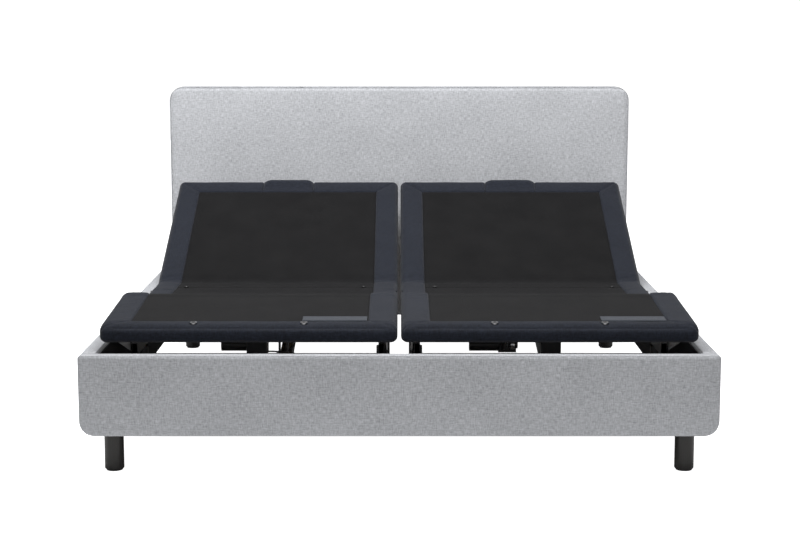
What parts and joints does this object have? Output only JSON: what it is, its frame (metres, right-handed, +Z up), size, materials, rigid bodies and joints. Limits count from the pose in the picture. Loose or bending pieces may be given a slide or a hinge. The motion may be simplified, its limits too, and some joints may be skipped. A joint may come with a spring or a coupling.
{
  "type": "adjustable bed base",
  "caption": "Upholstered bed surround with headboard that holds side-by-side motorised platforms, each with a lifting back and a bending knee.",
  "frame": {"origin": "on the floor under the middle of the whole bed", "axes": "+X to the right seen from the foot end, +Y towards the headboard, +Z up"},
  "size_m": [1.956, 2.251, 1.11],
  "materials": {
    "light_upholstery": "heathered light grey weave",
    "dark_upholstery": "slate and near-black weave",
    "liner_board": "matte black",
    "timber_board": "sanded pine",
    "dust_cover": "non-woven black",
    "black_steel": "black powder coat",
    "zinc_fasteners": "zinc plated",
    "leg_finish": "dark brown satin",
    "black_plastic": "moulded black",
    "plywood": "raw birch plywood",
    "socket_metal": "satin nickel",
    "cable_jacket": "matte black",
    "rod_steel": "ground",
    "pale_steel": "light grey powder coat"
  },
  "bodies": {
    "root": {"footboard": "light_upholstery", "side_rail_left": "light_upholstery", "side_rail_right": "light_upholstery", "rail_liners": "liner_board", "headboard_panel": "light_upholstery", "headboard_board": "timber_board", "headboard_back_cover": "dust_cover", "corner_brackets": "black_steel", "corner_bolts": "zinc_fasteners", "front_legs": "leg_finish", "rear_legs": "leg_finish", "leg_glides": "black_plastic", "rail_brackets": "black_steel", "chassis_frame_left": "black_steel", "chassis_legs_left": "black_steel", "pivot_pins_left": "zinc_fasteners", "control_box_left": "black_plastic", "seat_pad_left": "dark_upholstery", "seat_board_left": "plywood", "chassis_frame_right": "black_steel", "chassis_legs_right": "black_steel", "pivot_pins_right": "zinc_fasteners", "control_box_right": "black_plastic", "seat_pad_right": "dark_upholstery", "seat_board_right": "plywood"},
    "back_left": {"back_frame_left": "black_steel", "back_board_left": "plywood", "back_pad_left": "dark_upholstery"},
    "thigh_left": {"thigh_frame_left": "black_steel", "thigh_board_left": "plywood", "thigh_pad_left": "dark_upholstery", "knee_pins_left": "zinc_fasteners"},
    "foot_left": {"foot_frame_left": "black_steel", "foot_board_left": "plywood", "foot_pad_left": "dark_upholstery", "retainer_sockets_left": "socket_metal", "massage_motor_left": "black_plastic", "motor_cable_left": "cable_jacket"},
    "head_actuator_left": {"head_actuator_left": "black_plastic"},
    "head_rod_left": {"head_rod_left": "rod_steel"},
    "leg_actuator_left": {"leg_actuator_left": "black_plastic"},
    "leg_rod_left": {"leg_rod_left": "rod_steel"},
    "foot_links_left": {"foot_links_left": "pale_steel"},
    "back_right": {"back_frame_right": "black_steel", "back_board_right": "plywood", "back_pad_right": "dark_upholstery"},
    "thigh_right": {"thigh_frame_right": "black_steel", "thigh_board_right": "plywood", "thigh_pad_right": "dark_upholstery", "knee_pins_right": "zinc_fasteners"},
    "foot_right": {"foot_frame_right": "black_steel", "foot_board_right": "plywood", "foot_pad_right": "dark_upholstery", "retainer_sockets_right": "socket_metal", "massage_motor_right": "black_plastic"},
    "head_actuator_right": {"head_actuator_right": "black_plastic"},
    "head_rod_right": {"head_rod_right": "rod_steel"},
    "leg_actuator_right": {"leg_actuator_right": "black_plastic"},
    "leg_rod_right": {"leg_rod_right": "rod_steel"},
    "foot_links_right": {"foot_links_right": "pale_steel"}
  },
  "joints": [
    {"name": "back_lift_left", "type": "hinge", "parent": "root", "child": "back_left", "pos_m": [-0.4635, 0.2015, 0.387], "axis": [1, 0, 0], "range_deg": [-24.2, 35.8]},
    {"name": "thigh_lift_left", "type": "hinge", "parent": "root", "child": "thigh_left", "pos_m": [-0.4635, -0.2105, 0.387], "axis": [-1, 0, 0], "range_deg": [-11.9, 23.1]},
    {"name": "foot_fold_left", "type": "hinge", "parent": "thigh_left", "child": "foot_left", "pos_m": [-0.4635, -0.62245, 0.47381], "axis": [1, 0, 0], "range_deg": [-15.55, 30.14]},
    {"name": "head_actuator_swivel_left", "type": "hinge", "parent": "root", "child": "head_actuator_left", "pos_m": [-0.4035, -0.3655, 0.176], "axis": [1, 0, 0], "range_deg": [-2.44, 3.59]},
    {"name": "head_rod_slide_left", "type": "slide", "parent": "head_actuator_left", "child": "head_rod_left", "axis": [0, 0.9889, 0.1483], "range_m": [-0.04949, 0.07297]},
    {"name": "leg_actuator_swivel_left", "type": "hinge", "parent": "root", "child": "leg_actuator_left", "pos_m": [-0.5235, 0.1145, 0.176], "axis": [1, 0, 0], "range_deg": [-1.01, 0.54]},
    {"name": "leg_rod_slide_left", "type": "slide", "parent": "leg_actuator_left", "child": "leg_rod_left", "axis": [0, -0.9816, 0.1912], "range_m": [-0.03006, 0.05788]},
    {"name": "foot_link_swing_left", "type": "hinge", "parent": "root", "child": "foot_links_left", "pos_m": [-0.4635, -0.6755, 0.318], "axis": [1, 0, 0], "range_deg": [-32.67, 16.86]},
    {"name": "back_lift_right", "type": "hinge", "parent": "root", "child": "back_right", "pos_m": [0.4635, 0.2015, 0.387], "axis": [1, 0, 0], "range_deg": [-24.2, 35.8]},
    {"name": "thigh_lift_right", "type": "hinge", "parent": "root", "child": "thigh_right", "pos_m": [0.4635, -0.2105, 0.387], "axis": [-1, 0, 0], "range_deg": [-11.9, 23.1]},
    {"name": "foot_fold_right", "type": "hinge", "parent": "thigh_right", "child": "foot_right", "pos_m": [0.4635, -0.62245, 0.47381], "axis": [1, 0, 0], "range_deg": [-15.55, 30.14]},
    {"name": "head_actuator_swivel_right", "type": "hinge", "parent": "root", "child": "head_actuator_right", "pos_m": [0.5235, -0.3655, 0.176], "axis": [1, 0, 0], "range_deg": [-2.44, 3.59]},
    {"name": "head_rod_slide_right", "type": "slide", "parent": "head_actuator_right", "child": "head_rod_right", "axis": [0, 0.9889, 0.1483], "range_m": [-0.04949, 0.07297]},
    {"name": "leg_actuator_swivel_right", "type": "hinge", "parent": "root", "child": "leg_actuator_right", "pos_m": [0.4035, 0.1145, 0.176], "axis": [1, 0, 0], "range_deg": [-1.01, 0.54]},
    {"name": "leg_rod_slide_right", "type": "slide", "parent": "leg_actuator_right", "child": "leg_rod_right", "axis": [0, -0.9816, 0.1912], "range_m": [-0.03006, 0.05788]},
    {"name": "foot_link_swing_right", "type": "hinge", "parent": "root", "child": "foot_links_right", "pos_m": [0.4635, -0.6755, 0.318], "axis": [1, 0, 0], "range_deg": [-32.67, 16.86]}
  ],
  "couplings": [
    {"joint": "foot_fold_left", "follows": "thigh_lift_left", "ratio": 1.3025},
    {"joint": "head_actuator_swivel_left", "follows": "back_lift_left", "ratio": 0.098835},
    {"joint": "head_rod_slide_left", "follows": "back_lift_left", "m_per_rad": 0.11598},
    {"joint": "leg_actuator_swivel_left", "follows": "thigh_lift_left", "ratio": -0.041468},
    {"joint": "leg_rod_slide_left", "follows": "thigh_lift_left", "m_per_rad": 0.14233},
    {"joint": "foot_link_swing_left", "follows": "thigh_lift_left", "ratio": -1.4123},
    {"joint": "foot_fold_right", "follows": "thigh_lift_right", "ratio": 1.3025},
    {"joint": "head_actuator_swivel_right", "follows": "back_lift_right", "ratio": 0.098835},
    {"joint": "head_rod_slide_right", "follows": "back_lift_right", "m_per_rad": 0.11598},
    {"joint": "leg_actuator_swivel_right", "follows": "thigh_lift_right", "ratio": -0.041468},
    {"joint": "leg_rod_slide_right", "follows": "thigh_lift_right", "m_per_rad": 0.14233},
    {"joint": "foot_link_swing_right", "follows": "thigh_lift_right", "ratio": -1.4123}
  ]
}
